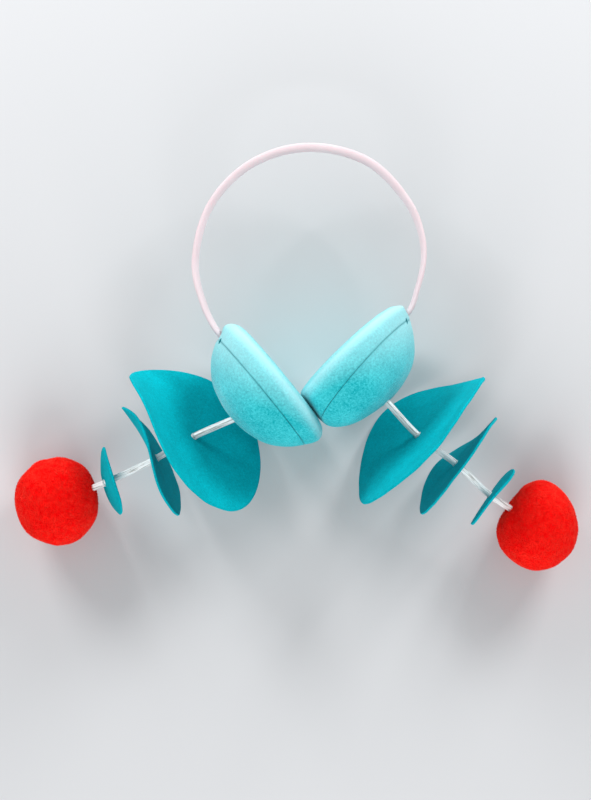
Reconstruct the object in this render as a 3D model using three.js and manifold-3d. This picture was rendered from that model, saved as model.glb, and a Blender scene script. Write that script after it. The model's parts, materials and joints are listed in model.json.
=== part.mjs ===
import * as THREE from 'three';
import { mergeVertices } from 'three/addons/utils/BufferGeometryUtils.js';
import { LoftGeometry } from 'three/addons/geometries/LoftGeometry.js';
import Module from 'manifold-3d';

// A head bopper lying on a table: a hoop headband whose ends go into two felt cups, and out of each cup a
// clear rod with three curled felt discs and a pompom. Millimetres, +Z up. X runs across the head and Y
// towards the crown. The table is at zero, and the origin is under the middle of the whole.

const wasm = await Module();
wasm.setup();

// Driving sizes
const gap = 0.3;
const hoop = { radius: 65.6, breadth: 5.4, thickness: 3.2, holeEase: 0.9 };
const cup = { radius: 42.3, rimDepth: 15, domeDepth: 22.5, wall: 2.5 };
const dent = { softness: 1.6 };
const anchor = { radius: 27, thickness: 9.5, grip: 9 };
const rod = { diameter: 3.8, bore: 1.5, reach: 113, rootInAnchor: 6.5 };
const pompom = { radius: 24.8, core: 22.2, lockWidth: 14, lockCount: 31 };
const felt = { thickness: 1.4 };
const discDiameter = { large: 100, medium: 70, small: 40 };

// Where the pieces of each side stand. Angles are in degrees: entry is where the hoop goes into the cup,
// counted round the hoop from +X, and headings are seen from above. entryDepth is a share of the rim's depth.
// The seam's slant is in degrees. Its shift and, on the upper side only, its bow are shares of the cup's
// radius, towards the dome. exitAside is the share of that radius by which the rod comes out off the cup's
// axis. pompomDip, a share of the pompom's radius, is how far it is pressed in where the rod enters, and
// pompomBroad and pompomLong stretch it along X and Y.
const sides = [
  { name: 'left', sign: -1, entry: 218.9, entryDepth: 0.807, cupHeading: 219.5, cupTilt: 2.9,
    seam: { slant: 0, shift: 0, bow: 0 }, exitAside: 0.045, rodHeading: 205.1,
    pompomDip: 0.05, pompomBroad: 0.97, pompomLong: 1.06 },
  { name: 'right', sign: 1, entry: -26.6, entryDepth: 0.587, cupHeading: -46.3, cupTilt: 6.2,
    seam: { slant: -5.2, shift: 0.028, bow: -0.014 }, exitAside: 0.064, rodHeading: -39.1,
    pompomDip: 0.18, pompomBroad: 0.97, pompomLong: 1.06 },
];

// Cup profile: along is a share of the rim's or the dome's depth, out a share of the cup's radius.
const rimProfile = [
  { along: 0.00, out: 0.820 },
  { along: 0.05, out: 0.888 },
  { along: 0.14, out: 0.936 },
  { along: 0.27, out: 0.979 },
  { along: 0.45, out: 1.000 },
  { along: 0.66, out: 0.986 },
  { along: 0.85, out: 0.957 },
  { along: 1.00, out: 0.926 },
];
const domeProfile = [
  { along: 0.00, out: 0.926 },
  { along: 0.16, out: 0.879 },
  { along: 0.28, out: 0.838 },
  { along: 0.44, out: 0.769 },
  { along: 0.66, out: 0.638 },
  { along: 0.82, out: 0.490 },
  { along: 0.94, out: 0.285 },
  { along: 1.00, out: 0.110 },
];

// Hoop's course from the right entry to the left one: reach is a share of its radius, turn is how far the
// broad side is turned out of the hoop's plane, in degrees.
const hoopCourse = [
  { at: 0.00, reach: 0.978, turn: 80 },
  { at: 0.05, reach: 0.978, turn: 84 },
  { at: 0.11, reach: 1.004, turn: 86 },
  { at: 0.16, reach: 1.014, turn: 80 },
  { at: 0.23, reach: 1.013, turn: 55 },
  { at: 0.35, reach: 1.018, turn: 28 },
  { at: 0.48, reach: 1.000, turn: 18 },
  { at: 0.60, reach: 0.992, turn: 35 },
  { at: 0.72, reach: 0.988, turn: 48 },
  { at: 0.84, reach: 0.989, turn: 52 },
  { at: 0.92, reach: 0.986, turn: 65 },
  { at: 1.00, reach: 1.000, turn: 78 },
];

// Discs: at and aside are shares of the rod's reach, along it and off its straight line. turn sets the disc's
// facing against the rod's heading. low and high are the lean of its lower and upper edge, outwards at the
// top, in degrees, at one end of the disc, in its middle and at the other end. bow, a share of the disc's
// radius, is how far the two ends bend outwards, and hooks bend the last part of one end further. tips is
// the share of its lean that each end loses, which makes it pointed from above.
const discs = [
  { side: 'left', size: 'large', at: 0.220, aside: 0.005, turn: 12.3, low: [44.2, 50.4, 42.1],
    high: [11.1, 7.1, -15.4], bow: -0.01, hooks: [0, 0.12], tips: [0, 0] },
  { side: 'left', size: 'medium', at: 0.438, aside: -0.014, turn: 2.3, low: [15.2, 6.8, 28],
    high: [6.7, -2, -42], bow: 0.1, hooks: [0, 0], tips: [1, 0.3] },
  { side: 'left', size: 'small', at: 0.724, aside: -0.016, turn: -10.7, low: [-0.9, -3.4, -0.8],
    high: [-30.3, -25.5, -19.5], bow: -0.2, hooks: [0, 0], tips: [0.2, 0.2] },
  { side: 'right', size: 'large', at: 0.232, aside: -0.033, turn: -5.3, low: [16.4, 33.6, 26.9],
    high: [-9.7, 2.6, -4.3], bow: 0.07, hooks: [0, 0], tips: [0.8, 0.3] },
  { side: 'right', size: 'medium', at: 0.472, aside: -0.022, turn: 1.0, low: [-26, 11.6, 20.8],
    high: [5.7, -1.3, -6.6], bow: 0.05, hooks: [0, 0], tips: [0.8, 0.8] },
  { side: 'right', size: 'small', at: 0.713, aside: -0.035, turn: 1.6, low: [-3.2, -7.0, -16.8],
    high: [11.7, 2.8, 9.4], bow: 0.07, hooks: [0, 0], tips: [0.2, 0.2] },
];

// Fineness of the faceted surfaces
const facets = { cup: 28, hoop: 8, hoopSteps: 38, rod: 4, rodSteps: 15 };
const discFacets = {
  large: { round: 30, rows: [0, 0.25, 0.5, 0.75, 1] },
  medium: { round: 24, rows: [0, 0.33, 0.67, 1] },
  small: { round: 18, rows: [0, 0.5, 1] },
};

const looks = {
  plastic: new THREE.MeshStandardMaterial({ color: 0xeadbe0, roughness: 0.35 }),
  cupFelt: new THREE.MeshStandardMaterial({ color: 0x6bd9df, roughness: 0.95 }),
  discFelt: new THREE.MeshStandardMaterial({ color: 0x06939f, roughness: 0.95 }),
  clear: new THREE.MeshStandardMaterial({
    color: 0xdfe3e2, roughness: 0.12, transparent: true, opacity: 0.6,
  }),
  foam: new THREE.MeshStandardMaterial({ color: 0xf2f2ee, roughness: 0.9 }),
  pile: new THREE.MeshStandardMaterial({ color: 0xf81a1e, roughness: 1 }),
};

const up = new THREE.Vector3(0, 0, 1);
const flatBearing = (degrees) => {
  const angle = THREE.MathUtils.degToRad(degrees);
  return new THREE.Vector3(Math.cos(angle), Math.sin(angle), 0);
};

// Value of one column of a table at a place between its rows
const readTable = (rows, key, value, column) => {
  const next = rows.findIndex((row) => row[key] >= value);
  if (next === 0) return rows[0][column];
  if (next < 0) return rows.at(-1)[column];
  const [a, b] = [rows[next - 1], rows[next]];
  return THREE.MathUtils.mapLinear(value, a[key], b[key], a[column], b[column]);
};

// A solid with its shared vertices merged and without the triangles that a pole squeezes to nothing
const solidOf = (geometry) => {
  const bare = new THREE.BufferGeometry().copy(geometry);
  bare.deleteAttribute('normal');
  bare.deleteAttribute('uv');
  const merged = mergeVertices(bare, 1e-4);
  const corners = merged.index.array;
  const kept = [];
  for (let i = 0; i < corners.length; i += 3) {
    const [a, b, c] = [corners[i], corners[i + 1], corners[i + 2]];
    if (a !== b && b !== c && c !== a) kept.push(a, b, c);
  }
  return new wasm.Manifold(new wasm.Mesh({
    numProp: 3, vertProperties: merged.attributes.position.array, triVerts: new Uint32Array(kept),
  }));
};

const group = new THREE.Group();
group.name = 'head_bopper';

// A named mesh of a solid, placed in the group
const addPiece = (name, solid, material, place = new THREE.Matrix4()) => {
  const { vertProperties, triVerts } = solid.getMesh();
  const geometry = new THREE.BufferGeometry();
  geometry.setAttribute('position', new THREE.BufferAttribute(new Float32Array(vertProperties), 3));
  geometry.setIndex(new THREE.BufferAttribute(new Uint32Array(triVerts), 1));
  geometry.computeVertexNormals();
  const mesh = new THREE.Mesh(geometry, material);
  mesh.name = name;
  mesh.applyMatrix4(place);
  group.add(mesh);
};

// A cutter that stands in the group, seen from the frame of the piece that it cuts
const seenFrom = (place, cutter) => cutter.transform(place.clone().invert().elements);

// Cups

// Each cup has its own frame: z along its axis from the ear face to the dome, y up, x level.
const cupPlace = (side, ear) => {
  const tilt = THREE.MathUtils.degToRad(side.cupTilt);
  const axis = flatBearing(side.cupHeading).multiplyScalar(Math.cos(tilt)).setZ(Math.sin(tilt));
  const level = new THREE.Vector3().crossVectors(up, axis).normalize();
  const rise = new THREE.Vector3().crossVectors(axis, level);
  return new THREE.Matrix4().makeBasis(level, rise, axis).setPosition(ear);
};

const rimPoints = rimProfile.map((row) => new THREE.Vector2(row.out * cup.radius, row.along * cup.rimDepth));
const domePoints = domeProfile.map(
  (row) => new THREE.Vector2(row.out * cup.radius, cup.rimDepth + row.along * cup.domeDepth));

// The inside of a profile, one wall in from it. The seam's own point moves level, so that the edge is square.
const insideOf = (points, seam) => points.map((point, i) => {
  if (i === seam) return new THREE.Vector2(point.x - cup.wall, point.y);
  const before = points[Math.max(i - 1, 0)];
  const after = points[Math.min(i + 1, points.length - 1)];
  const run = after.clone().sub(before).normalize();
  return new THREE.Vector2(point.x - run.y * cup.wall, point.y + run.x * cup.wall);
});

const rimInside = insideOf(rimPoints, rimPoints.length - 1).slice(2);
const domeInside = insideOf(domePoints, 0);
const onAxis = (height) => new THREE.Vector2(0, height);
const seamGap = (points, index, shift) => {
  points[index].y += shift;
  return points;
};

const rimOutline = {
  outer: [onAxis(0), ...seamGap(rimPoints.map((p) => p.clone()), rimPoints.length - 1, -gap / 2)],
  inner: [onAxis(cup.wall), ...seamGap(rimInside, rimInside.length - 1, -gap / 2)],
};
const domeOutline = {
  outer: [...seamGap(domePoints.map((p) => p.clone()), 0, gap / 2), onAxis(domePoints.at(-1).y)],
  inner: [...seamGap(domeInside, 0, gap / 2), onAxis(domePoints.at(-1).y - cup.wall)],
};
rimOutline.inner[1].y = cup.wall;
domeOutline.inner.at(-2).y = domePoints.at(-1).y - cup.wall;

// Turns an outline into a shell. bend moves each point, given whether it lies on the inside of the wall.
const shell = (points, insideCount, insideFirst, bend) => {
  const geometry = new THREE.LatheGeometry(points, facets.cup).rotateX(Math.PI / 2);
  const position = geometry.attributes.position;
  const point = new THREE.Vector3();
  for (let i = 0; i < position.count; i += 1) {
    const row = i % points.length;
    const inside = insideFirst ? row < insideCount : row >= points.length - insideCount;
    bend(point.fromBufferAttribute(position, i), inside);
    position.setXYZ(i, point.x, point.y, point.z);
  }
  return solidOf(geometry);
};

// The seam runs a little askew round the cup: nothing moves in the ear face's wall or at the apex.
const skewSeam = (point, seam) => {
  const depth = cup.rimDepth + cup.domeDepth;
  const share = THREE.MathUtils.clamp((point.z - cup.wall) / (depth - cup.wall), 0, 1);
  const fade = Math.sin(Math.PI * share);
  const upper = Math.max(0, point.y / cup.radius);
  const slant = point.x * Math.tan(THREE.MathUtils.degToRad(seam.slant));
  point.z += (slant + (seam.shift + seam.bow * upper * upper) * cup.radius) * fade;
};

// One cup presses on the other's ear face, which flattens it there. The dent's edge is rounded.
const flattenAgainst = (plane, point, inside) => {
  const nearest = gap + dent.softness / 2 + (inside ? cup.wall : 0);
  const away = plane.distanceToPoint(point) - nearest;
  const moved = (away + Math.hypot(away, dent.softness)) / 2 - away;
  point.addScaledVector(plane.normal, moved);
};

// What lies inside a cup ends short of the flattened wall.
const clearOfDent = (plane, solid) => {
  const clearance = gap + dent.softness + cup.wall + gap;
  return solid.trimByPlane(plane.normal.toArray(), clearance - plane.constant);
};

const cupRadiusAt = (depth) => readTable(
  rimProfile.map((row) => ({ depth: row.along * cup.rimDepth, radius: row.out * cup.radius })),
  'depth', depth, 'radius');
const cupRestHeight = (side) => {
  const tilt = THREE.MathUtils.degToRad(side.cupTilt);
  return Math.max(...rimPoints.map((point) => point.x * Math.cos(tilt) - point.y * Math.sin(tilt)));
};

const hoopAngle = (at) => THREE.MathUtils.lerp(sides[1].entry, sides[0].entry, at);
const hoopFlat = (at) => flatBearing(hoopAngle(at))
  .multiplyScalar(hoop.radius * readTable(hoopCourse, 'at', at, 'reach'));

for (const side of sides) {
  const ear = new THREE.Vector3(0, 0, cupRestHeight(side));
  const depth = side.entryDepth * cup.rimDepth;
  const entry = new THREE.Vector3(side.sign * cupRadiusAt(depth), 0, depth);
  side.place = cupPlace(side, ear);
  const shift = hoopFlat(side.name === 'left' ? 1 : 0).sub(entry.applyMatrix4(side.place)).setZ(0);
  side.place.premultiply(new THREE.Matrix4().makeTranslation(shift));
  side.entryPoint = entry.add(shift);
  side.holdPoint = new THREE.Vector3(
    side.sign * (anchor.radius - anchor.grip), 0, cup.wall + gap + anchor.thickness / 2,
  ).applyMatrix4(side.place);
}
const [left, right] = sides;
const leftEar = new THREE.Plane().setFromNormalAndCoplanarPoint(
  new THREE.Vector3(0, 0, -1).transformDirection(left.place),
  new THREE.Vector3().setFromMatrixPosition(left.place));

// Headband

const hoopHeight = (left.entryPoint.z + right.entryPoint.z) / 2;
const hoopLine = new THREE.CatmullRomCurve3([
  right.holdPoint,
  ...hoopCourse.map((row) => hoopFlat(row.at).setZ(hoopHeight)),
  left.holdPoint,
], false, 'centripetal');

const hoopSolid = (extra) => {
  const sections = [];
  for (let step = 0; step <= facets.hoopSteps; step += 1) {
    const share = step / facets.hoopSteps;
    const middle = hoopLine.getPointAt(share);
    const along = hoopLine.getTangentAt(share);
    const outward = new THREE.Vector3().crossVectors(along, up).normalize();
    const rise = new THREE.Vector3().crossVectors(outward, along);
    const turn = THREE.MathUtils.degToRad(readTable(hoopCourse, 'at', share, 'turn'));
    const section = [];
    for (let corner = 0; corner < facets.hoop; corner += 1) {
      const angle = (corner / facets.hoop) * 2 * Math.PI;
      const flat = new THREE.Vector2(
        Math.cos(angle) * (hoop.breadth / 2 + extra),
        -Math.sin(angle) * (hoop.thickness / 2 + extra),
      ).rotateAround(new THREE.Vector2(), turn);
      section.push(middle.clone().addScaledVector(outward, flat.x).addScaledVector(rise, flat.y));
    }
    sections.push(section);
  }
  return solidOf(new LoftGeometry(sections, { capStart: true, capEnd: true }));
};
addPiece('headband', hoopSolid(0), looks.plastic);

// Pompoms

// Share of the pompom's radius by which its form swells, or dips where the rod goes in, in a direction
const swell = (side, out) => {
  const rodSide = flatBearing(side.rodHeading).negate();
  const uneven = 0.02 * Math.sin(3.1 * out.x + side.sign) + 0.025 * Math.cos(2.7 * out.y + 1.3 * side.sign);
  return uneven - side.pompomDip * Math.max(0, out.dot(rodSide)) ** 5;
};

// Locks spread evenly over a ball. Each narrows outwards from its foot inside the core.
const pompomSolid = (side) => {
  const goldenAngle = Math.PI * (3 - Math.sqrt(5));
  const [footShare, footWidth, tipWidth] = [0.75, 0.7, 0.3];
  const foot = pompom.core * footShare;
  let ball = solidOf(new THREE.IcosahedronGeometry(pompom.core, 1));
  for (let i = 0; i < pompom.lockCount; i += 1) {
    const height = 1 - (2 * (i + 0.5)) / pompom.lockCount;
    const ring = Math.sqrt(1 - height * height);
    const out = new THREE.Vector3(ring * Math.cos(i * goldenAngle), height, ring * Math.sin(i * goldenAngle));
    const length = pompom.radius * (1 + swell(side, out)) - foot;
    const lock = new THREE.CylinderGeometry(
      pompom.lockWidth * tipWidth, pompom.lockWidth * footWidth, length, 5, 1);
    lock.translate(0, foot + length / 2, 0);
    lock.applyQuaternion(new THREE.Quaternion().setFromUnitVectors(new THREE.Vector3(0, 1, 0), out));
    ball = ball.add(solidOf(lock));
  }
  return ball.scale([side.pompomBroad, side.pompomLong, 1]);
};

// Rods

// The rod leaves the dome nearly along the cup's axis and sags until the pompom rests on the table.
const rodPath = (side, pompomHeight) => {
  const depth = domePoints.at(-1).y;
  const exit = new THREE.Vector3(-side.sign * side.exitAside * cup.radius, 0, depth).applyMatrix4(side.place);
  const chord = flatBearing(side.rodHeading);
  const aside = new THREE.Vector3().crossVectors(up, chord).multiplyScalar(side.sign);
  const climb = rod.reach * Math.tan(THREE.MathUtils.degToRad(side.cupTilt));
  const pointAt = (at, off) => exit.clone()
    .addScaledVector(chord, at * rod.reach)
    .addScaledVector(aside, off * rod.reach)
    .setZ(exit.z + climb * at - (exit.z + climb - pompomHeight) * at * at);
  const stations = discs.filter((disc) => disc.side === side.name);
  for (const disc of stations) disc.point = pointAt(disc.at, disc.aside);
  const start = stations[0].point.clone().sub(exit).normalize();
  const axis = new THREE.Vector3(0, 0, 1).transformDirection(side.place);
  const rootDepth = cup.wall + gap + anchor.thickness - rod.rootInAnchor;
  const root = exit.clone().addScaledVector(start, -(depth - rootDepth) / start.dot(axis));
  return [root, exit, ...stations.map((disc) => disc.point), pointAt(1, 0)];
};

// bore is the tube's hollow, or zero for a solid rod. longer pushes both ends out.
const rodSolid = (points, diameter, bore, longer) => {
  const ends = points.map((point) => point.clone());
  ends[0].addScaledVector(points[1].clone().sub(points[0]).normalize(), -longer);
  ends.at(-1).addScaledVector(points.at(-1).clone().sub(points.at(-2)).normalize(), longer);
  const section = new THREE.Shape().absarc(0, 0, diameter / 2, 0, 2 * Math.PI, false);
  if (bore > 0) section.holes.push(new THREE.Path().absarc(0, 0, bore / 2, 0, 2 * Math.PI, true));
  return solidOf(new THREE.ExtrudeGeometry(section, {
    steps: facets.rodSteps,
    curveSegments: facets.rod,
    bevelEnabled: false,
    extrudePath: new THREE.CatmullRomCurve3(ends, false, 'centripetal'),
  }));
};

// Discs

// Value at a place across a disc, from -1 to 1, of a smooth run through the values at its ends and middle
const blendAcross = ([first, middle, last], across) => {
  const slope = (last - first) / 2;
  const curve = (first + last) / 2 - middle;
  return middle + slope * across + curve * across * across;
};

// How far one end is bent by its hook, a share of the disc's radius. The hook starts some way out.
const hookAt = (hook, towardsEnd) => {
  const hookStart = 0.4;
  const share = Math.max(0, THREE.MathUtils.inverseLerp(hookStart, 1, towardsEnd));
  return hook * share * share;
};

// Bends a flat disc: z is up its face, x across it and y through the felt, all before bending.
const curlDisc = (disc, radius, across, height) => {
  const steps = 6;
  const low = blendAcross(disc.low, across);
  const high = blendAcross(disc.high, across);
  const narrowing = 1 - Math.sqrt(Math.max(0, 1 - across * across));
  const kept = 1 - disc.tips[across < 0 ? 0 : 1] * narrowing;
  const hooked = hookAt(disc.hooks[0], -across) + hookAt(disc.hooks[1], across);
  const outwards = disc.bow * across * across + hooked;
  const bent = new THREE.Vector3(across * radius, outwards * radius, 0);
  for (let i = 0; i < steps; i += 1) {
    const level = (height * (i + 0.5)) / steps;
    const lean = THREE.MathUtils.degToRad(THREE.MathUtils.lerp(low, high, (level + 1) / 2) * kept);
    bent.y += (Math.sin(lean) * height * radius) / steps;
    bent.z += (Math.cos(lean) * height * radius) / steps;
  }
  return bent;
};

const discSolid = (disc) => {
  const radius = discDiameter[disc.size] / 2;
  const { round, rows } = discFacets[disc.size];
  const half = felt.thickness / 2;
  const profile = [
    ...rows.map((row) => new THREE.Vector2(row * radius, -half)),
    ...rows.map((row) => new THREE.Vector2(row * radius, half)).reverse(),
  ];
  const geometry = new THREE.LatheGeometry(profile, round);
  const position = geometry.attributes.position;
  const nudge = 1e-3;
  for (let i = 0; i < position.count; i += 1) {
    const across = position.getX(i) / radius;
    const height = position.getZ(i) / radius;
    const point = curlDisc(disc, radius, across, height);
    const sideways = curlDisc(disc, radius, across + nudge, height).sub(point);
    const upwards = curlDisc(disc, radius, across, height + nudge).sub(point);
    const normal = upwards.cross(sideways).normalize();
    point.addScaledVector(normal, position.getY(i));
    position.setXYZ(i, point.x, point.y, point.z);
  }
  return solidOf(geometry);
};

// Pieces of each side

for (const side of sides) {
  const pompomBall = pompomSolid(side);
  const pompomHeight = -pompomBall.boundingBox().min[2];
  const path = rodPath(side, pompomHeight);
  const rodHole = rodSolid(path, rod.diameter + 2 * gap, 0, gap);
  addPiece(`rod_${side.name}`, rodSolid(path, rod.diameter, rod.bore, 0), looks.clear);

  const pompomPlace = new THREE.Matrix4().setPosition(path.at(-1));
  const pompomCut = pompomBall.subtract(seenFrom(pompomPlace, rodHole));
  addPiece(`pompom_${side.name}`, pompomCut, looks.pile, pompomPlace);

  const dentPlane = leftEar.clone().applyMatrix4(side.place.clone().invert());
  const bend = (point, inside) => {
    skewSeam(point, side.seam);
    if (side === right) flattenAgainst(dentPlane, point, inside);
  };
  const rimShell = shell(
    [...rimOutline.outer, ...rimOutline.inner.toReversed()], rimOutline.inner.length, false, bend);
  const domeShell = shell(
    [...domeOutline.inner.toReversed(), ...domeOutline.outer], domeOutline.inner.length, true, bend);
  const hoopHole = seenFrom(side.place, hoopSolid(hoop.holeEase));
  addPiece(`cup_back_${side.name}`, rimShell.subtract(hoopHole), looks.cupFelt, side.place);
  const domeCut = domeShell.subtract(seenFrom(side.place, rodHole));
  addPiece(`cup_dome_${side.name}`, domeCut, looks.cupFelt, side.place);

  const plug = new THREE.CylinderGeometry(anchor.radius, anchor.radius, anchor.thickness, facets.cup);
  plug.rotateX(Math.PI / 2).translate(0, 0, cup.wall + gap + anchor.thickness / 2);
  const plugSolid = solidOf(plug)
    .subtract(seenFrom(side.place, rodHole))
    .subtract(seenFrom(side.place, hoopSolid(gap)));
  const plugInside = side === right ? clearOfDent(dentPlane, plugSolid) : plugSolid;
  addPiece(`anchor_${side.name}`, plugInside, looks.foam, side.place);

  for (const disc of discs.filter((row) => row.side === side.name)) {
    const facing = flatBearing(side.rodHeading + disc.turn);
    const across = new THREE.Vector3().crossVectors(facing, up);
    const place = new THREE.Matrix4().makeBasis(across, facing, up).setPosition(disc.point);
    const sheet = discSolid(disc).subtract(seenFrom(place, rodHole));
    addPiece(`disc_${disc.size}_${side.name}`, sheet, looks.discFelt, place);
  }
}

// The whole stands on the table, with the origin under its middle.
const size = new THREE.Box3().setFromObject(group, true);
const middle = size.getCenter(new THREE.Vector3());
group.position.set(-middle.x, -middle.y, -size.min.z);

export default group;
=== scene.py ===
import json
import math
import bmesh
import bpy
import numpy as np
from mathutils import Matrix, Vector


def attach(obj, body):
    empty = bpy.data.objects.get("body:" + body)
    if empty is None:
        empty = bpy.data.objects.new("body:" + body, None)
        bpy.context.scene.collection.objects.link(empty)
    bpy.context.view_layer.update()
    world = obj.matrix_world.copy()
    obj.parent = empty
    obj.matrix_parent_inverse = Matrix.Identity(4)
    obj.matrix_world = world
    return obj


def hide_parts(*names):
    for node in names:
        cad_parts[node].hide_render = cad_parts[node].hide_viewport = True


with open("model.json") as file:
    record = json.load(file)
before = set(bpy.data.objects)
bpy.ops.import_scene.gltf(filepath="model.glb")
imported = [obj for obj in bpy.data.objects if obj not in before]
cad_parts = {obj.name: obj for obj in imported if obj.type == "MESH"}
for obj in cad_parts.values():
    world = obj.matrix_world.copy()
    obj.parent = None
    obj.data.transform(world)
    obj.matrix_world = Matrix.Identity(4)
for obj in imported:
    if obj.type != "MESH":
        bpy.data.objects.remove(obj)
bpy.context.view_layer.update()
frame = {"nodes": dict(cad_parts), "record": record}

# A head bopper lying on a table, seen from straight above: a hoop headband, two felt cups, and on each side a
# clear rod with three curled felt discs and a red pompom. Metres, +Z up, the table is at zero.

scene = bpy.context.scene
mm = 0.001

# camera, light and table

shot = {"height": 1.3, "over": (-0.0004, -0.024), "lens": 98.8}
studio = {
    "keyLeft": {"watts": 7.5, "size": 0.4, "stands": (-0.6, 0.74, 0.52)},
    "keyRight": {"watts": 7.5, "size": 0.4, "stands": (0.6, 0.74, 0.52)},
    "fill": {"watts": 7.5, "size": 0.7, "stands": (0, -0.95, 0.62)},
    "air": ("#f6f8fa", 0.44),
    "table": {"side": 3.0, "colour": "#cbccce"},
}


def colour(hexText):
    # sRGB hex to the linear colour that shaders and lights take
    parts = [int(hexText[i:i + 2], 16) / 255 for i in (1, 3, 5)]
    return tuple(c / 12.92 if c <= 0.04045 else ((c + 0.055) / 1.055) ** 2.4 for c in parts) + (1.0,)


def addNode(tree, kind, settings={}, inputs={}):
    # one node of any kind, with its settings, and each input given a value or a link
    node = tree.nodes.new(kind)
    for name, value in settings.items():
        setattr(node, name, value)
    for name, value in inputs.items():
        if isinstance(value, bpy.types.NodeSocket):
            tree.links.new(value, node.inputs[name])
        else:
            node.inputs[name].default_value = value
    return node


camera = bpy.data.objects.new("tableCamera", bpy.data.cameras.new("tableCamera"))
camera.data.lens = shot["lens"]
camera.location = (*shot["over"], shot["height"])
scene.collection.objects.link(camera)
scene.camera = camera

for name in ("keyLeft", "keyRight", "fill"):
    lamp = bpy.data.lights.new(name + "Softbox", "AREA")
    lamp.energy = studio[name]["watts"]
    lamp.size = studio[name]["size"]
    softbox = bpy.data.objects.new(name + "Softbox", lamp)
    softbox.location = studio[name]["stands"]
    softbox.rotation_euler = Vector(studio[name]["stands"]).to_track_quat("Z", "Y").to_euler()
    scene.collection.objects.link(softbox)

scene.world = bpy.data.worlds.new("studioAir")
scene.world.use_nodes = True
air = scene.world.node_tree.nodes["Background"]
air.inputs["Color"].default_value = colour(studio["air"][0])
air.inputs["Strength"].default_value = studio["air"][1]
scene.view_settings.view_transform = "Standard"


def newLook(name):
    # an empty material with its shader, ready for its nodes
    look = bpy.data.materials.new(name)
    look.use_nodes = True
    return look, look.node_tree, look.node_tree.nodes["Principled BSDF"]


paper, paperTree, paperShader = newLook("paintedTable")
paperShader.inputs["Base Color"].default_value = colour(studio["table"]["colour"])
paperShader.inputs["Roughness"].default_value = 0.9
half = studio["table"]["side"] / 2
corners = [(-half, -half, 0), (half, -half, 0), (half, half, 0), (-half, half, 0)]
table = bpy.data.objects.new("table", bpy.data.meshes.new("table"))
table.data.from_pydata(corners, [], [(0, 1, 2, 3)])
table.data.materials.append(paper)
scene.collection.objects.link(table)
print("camera, light and table are set")

# materials


# Pressed synthetic felt: short fibres matted into a sheet. It scatters all light, so it has no gloss. It
# pales where it is seen edge on. On the cups it takes a painted highlight on the rims where light falls,
# and painted shade in the seam's groove and stitch holes. It is mottled by thicker and thinner places.
def feltLook(name, felt):
    look, tree, shader = newLook(name)
    place = addNode(tree, "ShaderNodeTexCoord").outputs["Object"]
    cloud = addNode(tree, "ShaderNodeTexNoise", {}, {
        "Vector": place, "Scale": 1 / felt["cloudSize"], "Detail": 3.0, "Roughness": 0.6})
    speck = addNode(tree, "ShaderNodeTexNoise", {}, {
        "Vector": place, "Scale": 1 / felt["speckSize"], "Detail": 4.0, "Roughness": 0.65, "Distortion": 0.6})
    fibre = addNode(tree, "ShaderNodeTexNoise", {}, {
        "Vector": place, "Scale": 1 / felt["fibreSize"], "Detail": 2.0, "Roughness": 0.7, "Distortion": 1.6})
    mottle = addNode(tree, "ShaderNodeMath", {"operation": "MULTIPLY_ADD"}, {
        0: cloud.outputs["Fac"], 1: felt["cloudShare"], 2: speck.outputs["Fac"]})
    spread = addNode(tree, "ShaderNodeMapRange", {}, {
        "Value": mottle.outputs[0],
        "From Min": 0.5 + 0.5 * felt["cloudShare"] - felt["spread"],
        "From Max": 0.5 + 0.5 * felt["cloudShare"] + felt["spread"]})
    blend = addNode(tree, "ShaderNodeMix", {"data_type": "RGBA"}, {
        "Factor": spread.outputs["Result"], 6: colour(felt["deep"]), 7: colour(felt["pale"])})
    # a painted highlight and a painted seam shade, laid over the felt's own colour by each point's share
    for state, tone in (("paintedHighlight", "highlightTone"), ("paintedSeamShade", "seamShadeTone")):
        share = addNode(tree, "ShaderNodeAttribute", {"attribute_name": state}).outputs["Fac"]
        blend = addNode(tree, "ShaderNodeMix", {"data_type": "RGBA"}, {
            "Factor": share, 6: blend.outputs[2], 7: colour(felt[tone])})
    tree.links.new(blend.outputs[2], shader.inputs["Base Color"])
    height = addNode(tree, "ShaderNodeMath", {"operation": "MULTIPLY_ADD"}, {
        0: fibre.outputs["Fac"], 1: 0.6, 2: speck.outputs["Fac"]})
    bump = addNode(tree, "ShaderNodeBump", {}, {
        "Height": height.outputs[0], "Strength": felt["bump"], "Distance": felt["bumpDepth"]})
    tree.links.new(bump.outputs["Normal"], shader.inputs["Normal"])
    shader.inputs["Roughness"].default_value = 0.95
    shader.inputs["Specular IOR Level"].default_value = 0.05
    shader.inputs["Sheen Weight"].default_value = felt["sheen"]
    shader.inputs["Sheen Roughness"].default_value = felt["sheenRoughness"]
    shader.inputs["Sheen Tint"].default_value = colour(felt["sheenTint"])
    return look


# of the last two tones, the first is a painted highlight and the second a painted shade
aquaFelt = feltLook("mouldedAquaFelt", {
    "deep": "#06b0bb", "pale": "#4fdce4", "highlightTone": "#c8f6fb", "seamShadeTone": "#0095a2",
    "cloudSize": 14 * mm, "speckSize": 1.2 * mm, "fibreSize": 0.5 * mm, "cloudShare": 0.35, "spread": 0.16,
    "bump": 0.9, "bumpDepth": 0.35 * mm,
    "sheen": 0.4, "sheenRoughness": 0.3, "sheenTint": "#e6fdff",
})
# of the last two tones, the first is a painted highlight and the second a painted shade
tealFelt = feltLook("stampedTealFelt", {
    "deep": "#0097a3", "pale": "#00c0ce", "highlightTone": "#00c0ce", "seamShadeTone": "#0095a2",
    "cloudSize": 16 * mm, "speckSize": 1.1 * mm, "fibreSize": 0.45 * mm, "cloudShare": 0.4, "spread": 0.24,
    "bump": 0.5, "bumpDepth": 0.25 * mm,
    "sheen": 0.02, "sheenRoughness": 0.5, "sheenTint": "#30e0f0",
})

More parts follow.
